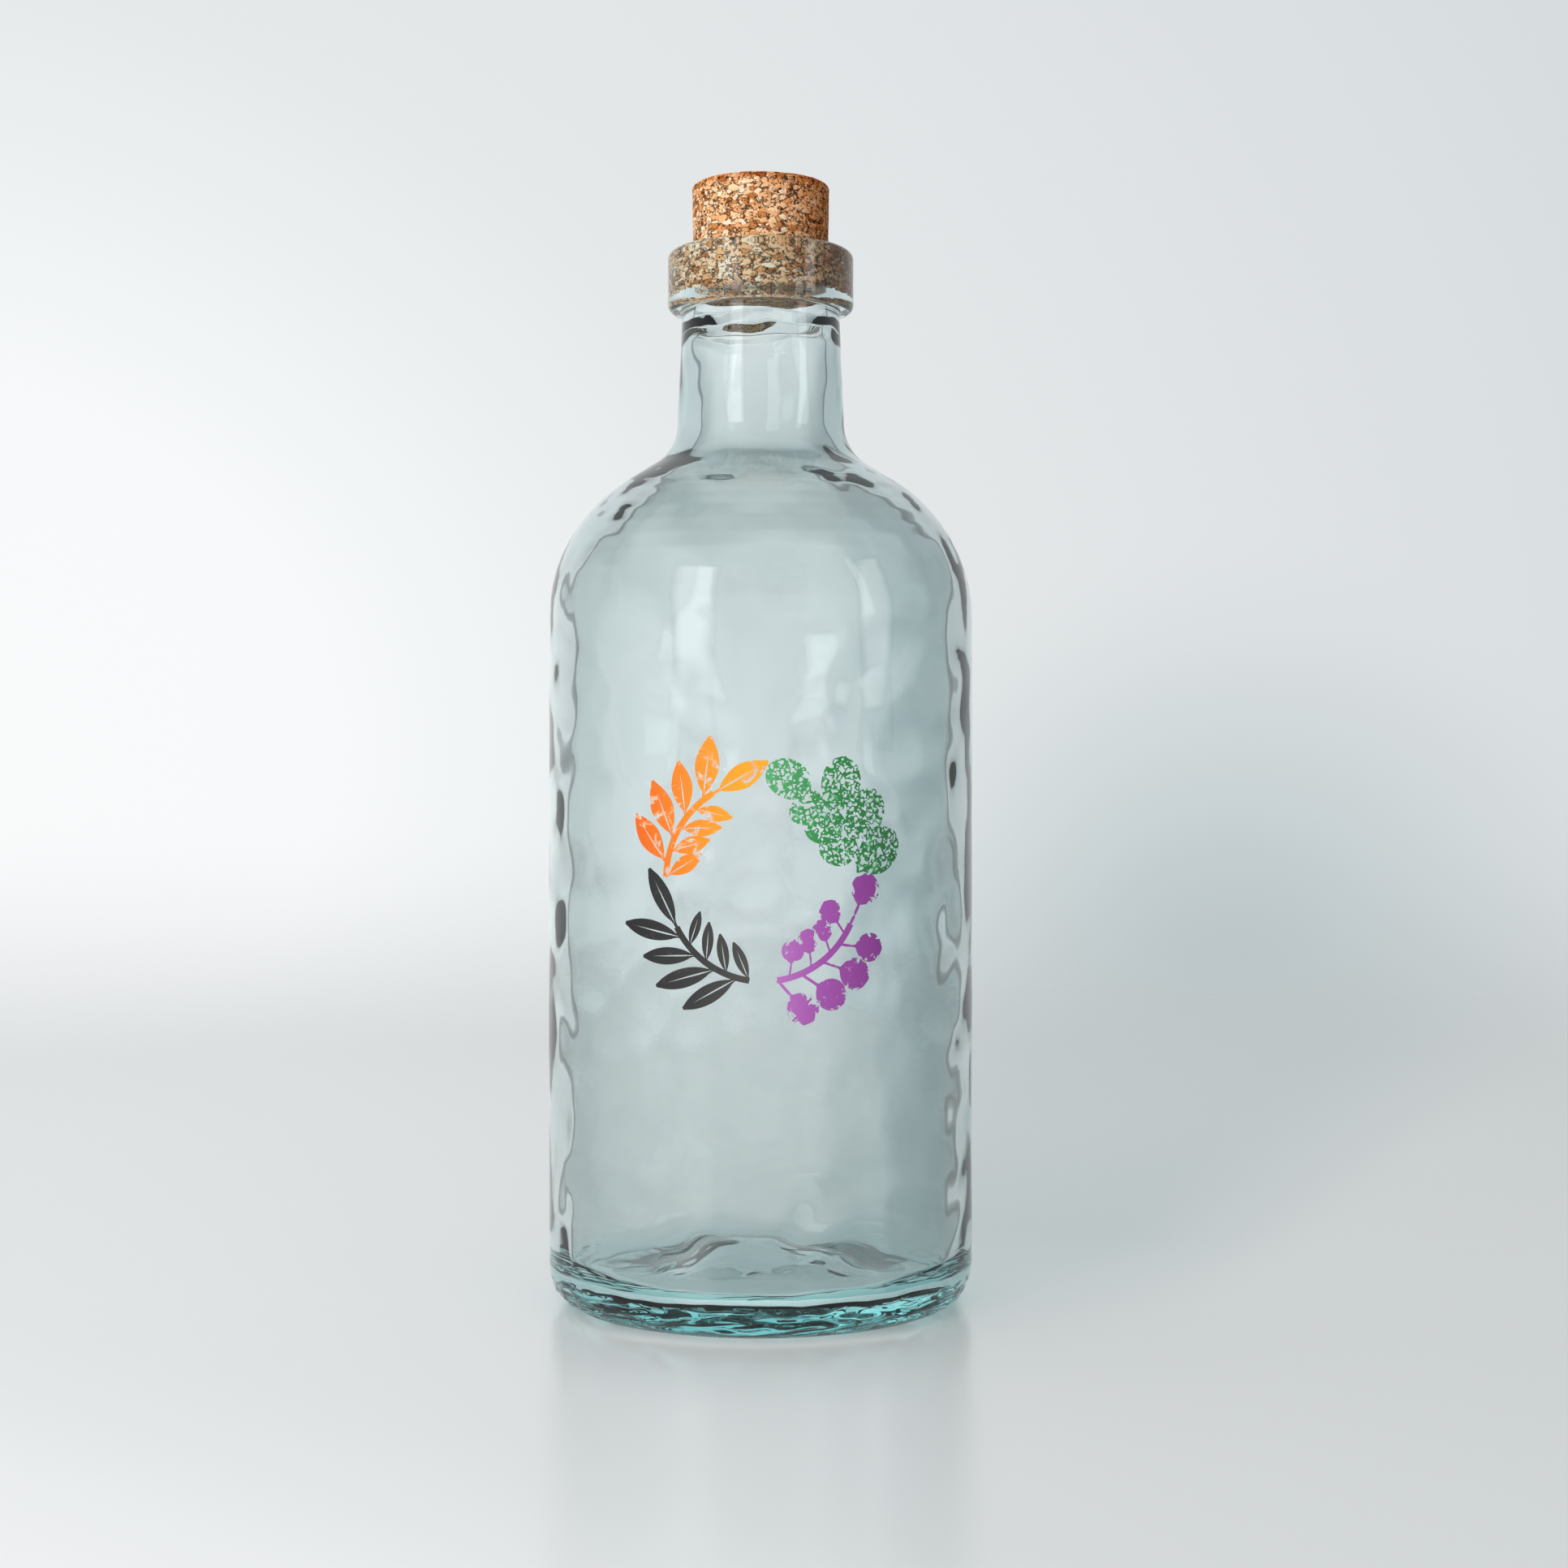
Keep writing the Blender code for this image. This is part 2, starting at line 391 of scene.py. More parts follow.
def bottleOutline(size):
    # From the middle of the floor up the inside, over the lip and down the outside to the push-up
    body, lip = glassHigh.x - size["inset"], glassHigh.z
    inner = glassHigh.x - size["sideWall"]
    slope, curve = size["shoulderSlope"], size["shoulderRound"]
    coneFoot = size["sideHeight"] + curve * math.tan((math.pi / 2 - slope) / 2)
    bore = size["neckBore"] / 2
    neckFoot = bore + size["neckFootWall"]
    coneTop = coneFoot + (body - neckFoot) * math.tan(slope)
    collarFoot = lip - size["collarHeight"]
    collar = size["collarRadius"]
    faceRadius = body - size["shoulderWall"] * math.sin(slope)
    faceHeight = coneFoot - size["shoulderWall"] * math.cos(slope)
    floorEdge = inner - size["innerHeelRound"]
    ringOuter = body - size["heelReach"]
    ringInner = ringOuter - size["ringWidth"]
    innerHeel = size["floorThickness"]
    beadTop, beadCrest = corkLow.z - size["beadTop"], corkLow.z - size["beadCrest"]
    wall = [
        (floorEdge, innerHeel, 0),
        (inner, innerHeel, size["innerHeelRound"]),
        (inner, faceHeight + (faceRadius - inner) * math.tan(slope), curve - size["sideWall"]),
        (bore, faceHeight + (faceRadius - bore) * math.tan(slope), size["neckFootRound"] + size["neckTopWall"]),
        (bore, corkLow.z - size["beadFoot"], size["beadFootRound"]),
        (bore - size["beadRise"], beadCrest, size["beadRound"]),
        (size["skirt"] / 2, beadTop, size["beadRound"]),
        (size["mouthFoot"] / 2, corkLow.z, 0),
        (size["mouthTop"] / 2, lip, size["lipEdgeRound"]),
        (collar, lip, size["collarTopRound"]),
        (collar, collarFoot, size["collarUnderRound"]),
        (bore + size["neckTopWall"], collarFoot, size["collarUnderEdge"]),
        (neckFoot, coneTop, size["neckFootRound"]),
        (body, coneFoot, curve),
        (body, size["heelHeight"], 0),
    ]
    stepShares = [i / size["domeSteps"] for i in range(size["domeSteps"])]
    floor = [(floorEdge * share, innerHeel + hill(floorEdge * share, size["domeRadius"], size["domeRise"]))
             for share in stepShares]
    turns = [math.pi / 2 * i / size["heelSteps"] for i in range(1, size["heelSteps"] + 1)]
    heel = [(ringOuter + size["heelReach"] * math.cos(a), size["heelHeight"] * (1 - math.sin(a))) for a in turns]
    under = [(ringInner * share, hill(ringInner * share, ringInner, size["pushUp"])) for share in stepShares]
    points = refined(floor + roundedLine(wall, size["arcStep"]) + heel, size["ringStep"])
    points += refined([(ringInner, 0)] + under[::-1], size["ringStep"])
    lipIndex = max(range(len(points)), key=lambda i: points[i][1])
    marks = {"waves": [], "ripples": [], "lifts": [], "inside": []}
    for i, (radius, height) in enumerate(points):
        nearFloor = 1 - smoothStep(height - size["floorCalm"], size["floorFade"])
        lift = 0.0
        if i < lipIndex:
            wave = smoothStep(beadTop + size["mouthCalm"] - height, size["mouthFade"])
            wave *= 1 - (1 - size["floorWaveShare"]) * nearFloor
            ripple = nearFloor * size["floorRippleShare"]
            lift = size["beadLift"] * (1 - smoothStep(abs(height - beadCrest), size["beadReach"]))
        elif radius > ringInner or height > size["heelHeight"]:
            wave = size["outerWaveShare"] * smoothStep(collarFoot - height, size["collarFade"])
            wave *= smoothStep(height, size["heelFade"])
            ripple = size["heelRippleShare"] * smoothStep(height, size["rippleRise"])
            ripple *= 1 - smoothStep(height - size["rippleCalm"], size["rippleFade"])
        else:
            wave = smoothStep(ringInner - radius, size["ringFade"]) * size["floorWaveShare"]
            ripple = wave * size["underRippleShare"]
        marks["waves"].append(wave)
        marks["ripples"].append(ripple)
        marks["lifts"].append(lift)
        marks["inside"].append(1.0 if i < lipIndex else 0.0)
    return points, marks


def glassMaterial():
    # Soda-lime container glass, fire-polished: clear and hard-edged, blue-green where it is thick
    # The inner face has painted shade: greyer where it is seen at a slant, on the right, low down and
    # at the shoulder, with a painted dark line where it turns into a mirror. The thick heel's teal and its
    # painted dark streaks of shade are painted on its front. Lamps shine straight through the glass, so the
    # cork and the floor behind it are lit.
    look = {
        "outer": "#F4F6F6",
        "heel": "#AEF4F6",
        "heelFrom": (0.0062, 0.0042),
        "heelBack": 0.02,
        "heelRadius": (0.0315, 0.0335),
        # Painted shade on the inner face: greyer by slant, by height and on the right
        "inner": [(0.0, "#FFFFFF"), (0.2, "#F8FAFA"), (0.55, "#C2C8C8"), (1.0, "#9CA2A2")],
        "byHeight": [
            (0.0, "#EAECEC"), (0.05, "#FAFBFB"), (0.084, "#FFFFFF"), (0.12, "#FBFCFC"), (0.134, "#EEF1F1"),
            (0.141, "#FAFCFC"), (0.150, "#D3D8D8"), (0.160, "#EEF0F0"), (0.172, "#FCFDFD"),
        ],
        "reach": 0.2,
        "innerShadeFoot": (0.005, 0.012),
        "innerShadeTop": (0.180, 0.172),
        "neckFrom": (0.150, 0.162),
        # Painted shade at the neck's edges
        "neckRimShade": "#B2C8CB",
        "neckRimFrom": (0.25, 0.65),
        # Painted shade: dark streaks on the heel's front
        "streakShade": "#010304",
        "streakScale": (52.0, 52.0, 1500.0),
        "streakRise": 0.10,
        "streakFrom": (0.562, 0.571),
        "right": "#DEE6E7",
        "rightFrom": (0.010, 0.032),
        # Painted dark line where the inner face turns into a mirror
        "mirrorLineShade": "#0C1416",
        "mirrorLineShadeFrom": (0.32, 0.38),
        "clear": "#FFFFFF",
        "deep": "#7CF0F0",
        "depth": 16.0,
        "ior": 1.52,
    }
    material, add = newMaterial("sodaLimeGlass")
    clear = colour(look["clear"])
    place = add("ShaderNodeTexCoord", None, "Object")
    sideways, inDepth, height = add(separate, [place], None).outputs
    facing = add("ShaderNodeLayerWeight", {"Blend": 0.5}, "Facing")

    # The inner face: painted shade by slant, side and height, then a painted dark line where it turns into a
    # mirror
    ramp = add("ShaderNodeValToRGB", [facing], stops=look["inner"])
    low = add(mapRange, [height, *look["innerShadeFoot"]])
    high = add(mapRange, [height, *look["innerShadeTop"]])
    innerShadeShare = add(maths, [low, high], **times)
    slantShade = add(mix, {"Factor": innerShadeShare, "A": clear, "B": ramp}, **inColour)
    right = add(mapRange, [sideways, *look["rightFrom"]])
    rightShare = add(maths, [right, innerShadeShare], **times)
    tints = {"Factor": rightShare, "A": slantShade, "B": colour(look["right"])}
    sided = add(mix, tints, blend_type="MULTIPLY", **inColour)
    rise = add(maths, [height, look["reach"]], operation="DIVIDE")
    stops = [(z / look["reach"], hexCode) for z, hexCode in look["byHeight"]]
    heightShade = add("ShaderNodeValToRGB", [rise], stops=stops)
    innerShaded = add(vectors, [sided, heightShade], **times)
    # Painted dark line where the inner face turns into a mirror
    glancing = add("ShaderNodeFresnel", {"IOR": look["ior"]})
    lined = add(mapRange, [glancing, *look["mirrorLineShadeFrom"]])
    inner = add(mix, {"Factor": lined, "A": innerShaded, "B": colour(look["mirrorLineShade"])}, **inColour)

    # The heel: the thick glass's teal with painted dark streaks of shade that climb to the right, on the outside
    # and towards the front only
    heelLow = add(mapRange, [height, *look["heelFrom"]])
    ahead = add(mapRange, [inDepth, look["heelBack"], 0.0])
    level = add(vectors, [place, (1.0, 1.0, 0.0)], **times)
    radius = add(vectors, [level], "Value", operation="LENGTH")
    outside = add(mapRange, [radius, *look["heelRadius"]])
    frontHeel = add(maths, [heelLow, ahead], **times)
    thick = add(maths, [frontHeel, outside], **times)
    rising = add(maths, [sideways, -look["streakRise"], height], **timesPlus)
    course = add(combine, [sideways, inDepth, rising])
    drawn = add(vectors, [course, look["streakScale"]], **times)
    shadeStreaks = add(noise, {"Vector": drawn, "Scale": 1.0, "Detail": 2.5, "Distortion": 0.3})
    streakShadeShare = add(mapRange, [shadeStreaks, *look["streakFrom"]])
    tints = {"Factor": streakShadeShare, "A": colour(look["heel"]), "B": colour(look["streakShade"])}
    heel = add(mix, tints, **inColour)

    # The outer face: painted shade at the neck's edges, where it is seen at a slant
    necked = add(mapRange, [height, *look["neckFrom"]])
    grazed = add(mapRange, [facing, *look["neckRimFrom"]])
    rimShare = add(maths, [necked, grazed], **times)
    tints = {"Factor": rimShare, "A": colour(look["outer"]), "B": colour(look["neckRimShade"])}
    rimmed = add(mix, tints, **inColour)
    side = add(mix, {"Factor": high, "A": clear, "B": rimmed}, **inColour)
    outer = add(mix, {"Factor": thick, "A": side, "B": heel}, **inColour)
    inside = add("ShaderNodeAttribute", None, "Fac", attribute_name="inside")
    face = add(mix, {"Factor": inside, "A": outer, "B": inner}, **inColour)
    shader = add("ShaderNodeBsdfPrincipled", {
        "Base Color": face, "Roughness": 0.0, "IOR": look["ior"], "Transmission Weight": 1.0,
    })
    rays = add("ShaderNodeLightPath", None, "Is Shadow Ray")
    passing = add("ShaderNodeBsdfTransparent", {"Color": clear})
    surface = add("ShaderNodeMixShader", [rays, shader, passing])
    volume = add("ShaderNodeVolumeAbsorption", {"Color": colour(look["deep"]), "Density": look["depth"]})
    add("ShaderNodeOutputMaterial", {"Surface": surface, "Volume": volume}, None)
    return material


outline, marks = bottleOutline(bottle)
rings = {"rings": len(outline), "Material": glassMaterial()}
glass = grow("glassBottle", outlineMesh("glassOutline", outline, marks), turner, bottle | rings)
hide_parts("glass_bottle")
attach(glass, "bottle")
print("glass bottle:", len(glass.data.polygons), "faces,", len(outline), "rings")

# The cork, a slightly tapered plug of pressed granules with sanded edges
stopper = {
    "footRadius": 0.01235,
    "topRadius": 0.01265,
    "footRound": 0.0013,
    "topRound": 0.0007,
    "segments": 300,
    "ringStep": 0.00026,
    "arcStep": math.radians(15),
    "gapDepth": 0.00016,
    "waveHeight": 0.00003,
    "waveLength": 0.003,
    "waveStretch": 1.0,
    "inset": 0.00003,
    "seed": 0.0,
}


def corkOutline(size):
    low, high = corkLow.z + size["inset"], corkHigh.z - size["inset"]
    corners = [
        (0, low, 0),
        (size["footRadius"] - size["inset"], low, size["footRound"]),
        (size["topRadius"] - size["inset"], high, size["topRound"]),
        (0, high, 0),
    ]
    return refined(roundedLine(corners, size["arcStep"]), size["ringStep"])[::-1]


def corkMaterial():
    # Agglomerated cork: pressed granules with dark gaps, cut and sanded, dry and matte. The grain in a chip is
    # about 0.3 mm. Painted shade makes it a little darker above the lip, on the right and at the top rim.
    look = {
        "chips": [(0.0, "#9A5E32"), (0.12, "#D0925A"), (0.35, "#F4BC88"), (0.7, "#FFD6AC"), (1.0, "#FFEED6")],
        "gap": "#241008",
        # Painted shade above the lip, on the right and at the top rim
        "aboveLipShade": "#FCF0E6",
        "aboveLipShadeFrom": 0.0004,
        "shaded": "#EED0B6",
        "shadedFrom": (0.001, 0.0125),
        "rim": "#E4C09E",
        "rimFrom": (0.0016, 0.0006),
        "grainScale": 3200.0,
        "grainShare": 0.6,
        "pitScale": 2300.0,
        "pitFrom": 0.64,
        "pitFade": 0.04,
        "roughness": 0.82,
    }
    material, add = newMaterial("pressedCork")
    place = add("ShaderNodeTexCoord", None, "Object")
    tone, gap = granules(add, place)
    grain = add(noise, {"Vector": place, "Scale": look["grainScale"], "Detail": 3.0})
    mixed = add(maths, [grain, look["grainShare"], -look["grainShare"] / 2], **timesPlus)
    shade = add(maths, [tone, mixed])
    tinted = add("ShaderNodeValToRGB", [shade], stops=look["chips"])
    sideways, _, height = add(separate, [place], None).outputs
    lip, top = glassHigh.z, corkHigh.z
    # Painted shade: darker above the lip, on the right side and at the top rim
    for part, start, end, tint in (
        (height, lip - look["aboveLipShadeFrom"], lip + look["aboveLipShadeFrom"], "aboveLipShade"),
        (sideways, *look["shadedFrom"], "shaded"),
        (height, top - look["rimFrom"][0], top - look["rimFrom"][1], "rim"),
    ):
        share = add(mapRange, [part, start, end], **softly)
        tints = {"Factor": share, "A": tinted, "B": colour(look[tint])}
        tinted = add(mix, tints, blend_type="MULTIPLY", **inColour)
    specks = add(noise, {"Vector": place, "Scale": look["pitScale"], "Detail": 1.0})
    pits = add(mapRange, [specks, look["pitFrom"], look["pitFrom"] + look["pitFade"]])
    dark = add(maths, [gap, pits], operation="MAXIMUM")
    painted = add(mix, {"Factor": dark, "A": tinted, "B": colour(look["gap"])}, **inColour)
    bump = add("ShaderNodeBump", {"Strength": 0.5, "Distance": 0.0001, "Height": grain})
    shader = add("ShaderNodeBsdfPrincipled", {
        "Base Color": painted, "Roughness": look["roughness"], "Specular IOR Level": 0.04, "Normal": bump,
    })
    add("ShaderNodeOutputMaterial", {"Surface": shader}, None)
    return material


outline = corkOutline(stopper)
plugMesh = outlineMesh("corkOutline", outline, {"waves": [1.0] * len(outline)})
cork = grow("corkPlug", plugMesh, turner, stopper | {"rings": len(outline), "Material": corkMaterial()})
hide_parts("cork_stopper")
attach(cork, "stopper")
print("cork:", len(cork.data.polygons), "faces,", len(outline), "rings")

# The print, a wreath of four sprigs, each in an ink and a leaf of its own. Angles are in degrees.
wreath = {
    "centreX": 0.0008,
    "centreHeight": 0.0785,
    "radius": 0.0170,
    "stemWidth": 0.0011,
    "thickness": 0.00002,
    "layerStep": 0.000003,
    "clearance": 0.00001,
    "sprigs": {
        "amber": {
            "start": 178, "sweep": -58, "count": 9, "leafLength": 0.0102, "leafWidth": 0.0040, "fullness": 1.7,
            "point": 0.85, "stalkShare": 0.10, "lean": 46, "innerLeanShare": 0.25, "innerSizeShare": 0.30,
        },
        "green": {
            "start": 4, "sweep": 56, "count": 7, "leafLength": 0.0094, "leafWidth": 0.0068, "fullness": 2.2,
            "point": 0.55, "stalkShare": 0.08, "lean": 50, "innerLeanShare": 0.2, "innerSizeShare": 0.25,
        },
        "charcoal": {
            "start": 262, "sweep": -54, "count": 9, "leafLength": 0.0106, "leafWidth": 0.0031, "fullness": 1.9,
            "point": 0.75, "stalkShare": 0.08, "lean": 44, "innerLeanShare": 0.35, "innerSizeShare": 0.38,
        },
        "violet": {
            "start": 278, "sweep": 56, "count": 9, "leafLength": 0.0088, "leafWidth": 0.0052, "fullness": 2.0,
            "point": 0.50, "stalkShare": 0.40, "lean": 56, "innerLeanShare": 0.2, "innerSizeShare": 0.28,
        },
    },
}


def sprigTree():
    # Leaves alternately left and right of a curved stem, as thin flat plates of ink wrapped on the wavy side
    tree, add, given = newNodeGroup("printedSprig", {
        "count": 9, "radius": 0.017, "start": 0.0, "sweep": 1.2, "leafLength": 0.01, "leafWidth": 0.004,
        "fullness": 2.0, "point": 0.7, "stalkShare": 0.1, "stalkWidthShare": 0.45, "lean": 0.7,
        "innerLeanShare": 0.3, "innerSizeShare": 0.3, "stemWidth": 0.001, "thickness": 0.00002,
        "layerStep": 0.000003, "clearance": 0.00001, "bodyRadius": 0.039, "centreX": 0.0, "centreHeight": 0.08,
        "waveHeight": 0.0003, "waveLength": 0.01, "waveStretch": 1.5, "outerWaveShare": 0.3, "seed": 0.0,
    })
    arc = add("GeometryNodeCurveArc", {
        "Resolution": 60, "Radius": given["radius"], "Start Angle": given["start"],
        "Sweep Angle": given["sweep"],
    })

    # One leaf: a flat block whose width follows the leaf's outline, narrow along its stalk
    leaf = add("GeometryNodeMeshCube", {
        "Size": (1.0, 1.0, 1.0), "Vertices X": 17, "Vertices Y": 5, "Vertices Z": 2,
    })
    parts = add(separate, [add("GeometryNodeInputPosition")], None).outputs
    along = add(maths, [parts[0], 0.5])
    across = add(maths, [parts[1], 2.0], **times)
    above = add(maths, [parts[2], 0.5])
    blade = add(mapRange, [along, given["stalkShare"], 1.0])
    fromMiddle = add(maths, [blade, 2.0, -1.0], **timesPlus)
    towardEnds = add(maths, [fromMiddle], operation="ABSOLUTE")
    narrowing = add(maths, [towardEnds, given["fullness"]], operation="POWER")
    full = add(maths, [1.0, narrowing], operation="SUBTRACT")
    pointed = add(maths, [full, given["point"]], operation="POWER")
    swell = add(maths, [pointed, given["leafWidth"]], **times)
    stalk = add(maths, [given["stemWidth"], given["stalkWidthShare"]], **times)
    width = add(maths, [swell, stalk], operation="MAXIMUM")
    sizes = ((along, given["leafLength"]), (parts[1], width), (above, given["thickness"]))
    shape = add(combine, [add(maths, pair, **times) for pair in sizes])
    for label, value in (("along", blade), ("across", across)):
        stored = {"Geometry": leaf, "Name": label, "Value": value}
        leaf = add("GeometryNodeStoreNamedAttribute", stored, data_type="FLOAT")
    leaf = add("GeometryNodeSetPosition", {"Geometry": leaf, "Position": shape})

    # Leaves on the arc. The last one points along the stem, and each lies a hair above or below its neighbours.
    # Those inside the bend have less room, so they are smaller and lean out more.
    index = add("GeometryNodeInputIndex")
    odd = add(maths, [index, 2.0], operation="MODULO")
    side = add(maths, [odd, 2.0, -1.0], **timesPlus)
    final = add(maths, [given["count"], 1.0], operation="SUBTRACT")
    notLast = add(maths, [index, final], operation="LESS_THAN")
    way = add(maths, [given["sweep"]], operation="SIGN")
    inward = add(maths, [side, way], **times)
    inwardShare = add(maths, [inward, 0.5, 0.5], **timesPlus)
    within = add(maths, [inwardShare, notLast], **times)
    more = add(maths, [within, given["innerLeanShare"], 1.0], **timesPlus)
    spread = add(maths, [given["lean"], more], **times)
    sided = add(maths, [side, spread], **times)
    lean = add(maths, [sided, notLast], **times)
    third = add(maths, [index, 3.0], operation="MODULO")
    layer = add(maths, [third, given["layerStep"]], **times)
    points = add("GeometryNodeCurveToPoints", {"Curve": arc, "Count": given["count"]})
    lifted = add("GeometryNodeSetPosition", {"Geometry": points, "Offset": add(combine, {2: layer})})
    spot = add(separate, [add("GeometryNodeInputPosition")], None).outputs
    around = add(maths, [spot[1], spot[0]], operation="ARCTAN2")
    forward = add(maths, [way, math.pi / 2, around], **timesPlus)
    heading = add(maths, [forward, lean])
    turned = add("FunctionNodeEulerToRotation", [add(combine, {2: heading})])
    random = add("FunctionNodeRandomValue", {2: 0.92, 3: 1.08, "ID": index, "Seed": 3}, 1)
    smaller = add(maths, [within, given["innerSizeShare"]], **times)
    kept = add(maths, [1.0, smaller], operation="SUBTRACT")
    vary = add(maths, [random, kept], **times)
    leaves = add("GeometryNodeInstanceOnPoints", {
        "Points": lifted, "Instance": leaf, "Rotation": turned, "Scale": add(combine, [vary, vary, 1.0]),
    })

    # The stem, a flat ribbon just above the leaves
    level = add("GeometryNodeSetCurveNormal", {"Curve": arc}, mode="Z_UP")
    ribbon = add("GeometryNodeCurvePrimitiveQuadrilateral", {
        "Width": given["stemWidth"], "Height": given["thickness"],
    })
    stem = add("GeometryNodeCurveToMesh", {"Curve": level, "Profile Curve": ribbon, "Fill Caps": True})
    layers = add(maths, [given["layerStep"], 3.0], **times)
    rise = add(maths, [given["thickness"], 0.5, layers], **timesPlus)
    raised = add("GeometryNodeSetPosition", {"Geometry": stem, "Offset": add(combine, {2: rise})})
    joined = add("GeometryNodeJoinGeometry", [raised], None)
    tree.links.new(leaves, joined.inputs[0])
    whole = add("GeometryNodeRealizeInstances", {"Geometry": joined.outputs[0]})

    # Wrapped round the bottle's side, just clear of its waves
    flat = add(separate, [add("GeometryNodeInputPosition")], None).outputs
    sideways = add(maths, [flat[0], given["centreX"]])
    angle = add(maths, [sideways, given["bodyRadius"]], operation="DIVIDE")
    height = add(maths, [flat[1], given["centreHeight"]])
    sine = add(maths, [angle], operation="SINE")
    cosine = add(maths, [angle], operation="COSINE")
    front = add(maths, [cosine, -1.0], **times)
    outward = add(combine, [sine, front, 0.0])
    upward = add(combine, {2: height})
    radii = add(combine, [given["bodyRadius"]] * 3)
    bare = add(vectors, [outward, radii, upward], **timesPlus)
    wave = softWaves(add, bare, given, given["waveLength"], given["waveStretch"])
    ground = add(maths, [wave, given["outerWaveShare"], given["bodyRadius"]], **timesPlus)
    clear = add(maths, [ground, given["clearance"]])
    outer = add(maths, [clear, flat[2]])
    wrapped = add(vectors, [outward, add(combine, [outer] * 3), upward], **timesPlus)
    placed = add("GeometryNodeSetPosition", {"Geometry": whole, "Position": wrapped})
    closeTree(add, placed, given["Material"])
    return tree


# Each ink runs through its colours from left to right. Shares of the leaf count along it, or from its rib out.
inks = {
    "amber": {
        "span": (-0.022, -0.001), "colours": [(0.0, "#E05A08"), (0.45, "#EC8018"), (1.0, "#F5A926")],
        "wearScale": 420.0, "pale": "#EFA878", "paleFrom": 0.55, "holesFrom": 0.63, "tornRim": 0.02,
        "strokeScale": 900.0, "strokeWidth": 1.0, "ribShare": 0.09,
    },
    "green": {
        "span": (0.001, 0.024), "colours": [(0.0, "#53A968"), (0.5, "#2F8A48"), (1.0, "#1E6B33")],
        "wearScale": 700.0, "pale": "#5DB274", "paleFrom": 0.56, "holesFrom": 0.68, "tornRim": 0.05,
        "strokeScale": 1200.0, "strokeWidth": 0.085, "ribShare": 0.0,
    },
    "charcoal": {
        "span": (-0.022, 0.0), "colours": [(0.0, "#1A1A1A"), (0.5, "#262625"), (1.0, "#4A4A46")],
        "wearScale": 500.0, "pale": "#30302E", "paleFrom": 0.6, "holesFrom": 0.9, "tornRim": 0.0,
        "strokeScale": 900.0, "strokeWidth": 1.0, "ribShare": 0.12,
    },
    "violet": {
        "span": (0.0, 0.022), "colours": [(0.0, "#BE78C2"), (0.5, "#A653AC"), (1.0, "#8A3590")],
        "wearScale": 620.0, "pale": "#C58BC8", "paleFrom": 0.62, "holesFrom": 0.72, "tornRim": 0.22,
        "strokeScale": 900.0, "strokeWidth": 1.0, "ribShare": 0.0,
    },
}
inkWear = {"paleFade": 0.05, "ribFrom": (0.15, 0.8), "stemShare": 0.01, "roughness": 0.42}


def inkMaterial(name, look):
    # Fired screen-print ink: opaque, satin and flat, with the gaps that a worn stamp or a dry brush leaves
    material, add = newMaterial(name)
    place = add("ShaderNodeTexCoord", None, "Object")
    share = add(mapRange, [add(separate, [place]), *look["span"]])
    paint = add("ShaderNodeValToRGB", [share], stops=look["colours"])
    mottle = add(noise, {
        "Vector": place, "Scale": look["wearScale"], "Detail": 4.0, "Roughness": 0.65, "Distortion": 0.6,
    })
    worn = add(mapRange, [mottle, look["paleFrom"], look["paleFrom"] + inkWear["paleFade"]])
    faded = add(mix, {"Factor": worn, "A": paint, "B": colour(look["pale"])}, **inColour)
    brush = add(noise, {"Vector": place, "Scale": look["strokeScale"], "Detail": 1.0})
    ridge = add(maths, [brush, 0.5], operation="SUBTRACT")
    fromRidge = add(maths, [ridge], operation="ABSOLUTE")
    stroked = add(maths, [fromRidge, look["strokeWidth"]], operation="LESS_THAN")
    across = add("ShaderNodeAttribute", None, "Fac", attribute_name="across")
    fromRib = add(maths, [across], operation="ABSOLUTE")
    along = add("ShaderNodeAttribute", None, "Fac", attribute_name="along")
    ribEnds = add(mapRange, [along, *inkWear["ribFrom"], look["ribShare"], 0.0])
    onBlade = add(maths, [fromRib, ribEnds], operation="GREATER_THAN")
    onStem = add(maths, [along, inkWear["stemShare"]], operation="LESS_THAN")
    solid = add(maths, [onBlade, onStem], operation="MAXIMUM")
    rim = add(maths, [fromRib, look["tornRim"], mottle], **timesPlus)
    kept = add(maths, [rim, look["holesFrom"]], operation="LESS_THAN")
    covered = add(maths, [kept, stroked], **times)
    cover = add(maths, [covered, solid], **times)
    shader = add("ShaderNodeBsdfPrincipled", {
        "Base Color": faded, "Roughness": inkWear["roughness"], "Alpha": cover,
    })
    add("ShaderNodeOutputMaterial", {"Surface": shader}, None)
    return material


sprigMaker = sprigTree()
seedMesh = bpy.data.meshes.new("printSeed")
seedMesh.from_pydata([(0, 0, 0)], [], [])
for label, sprig in wreath["sprigs"].items():
    angles = {part: math.radians(sprig[part]) for part in ("start", "sweep", "lean")}
    ink = inkMaterial(label + "PrintInk", inks[label])
    finish = {"bodyRadius": glassHigh.x - bottle["inset"], "Material": ink}
    printed = grow(label + "Sprig", seedMesh, sprigMaker, bottle | wreath | sprig | angles | finish, 0.000001)
    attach(printed, "bottle")
    print(label, "sprig:", len(printed.data.polygons), "faces", [round(v, 6) for v in printed.dimensions])

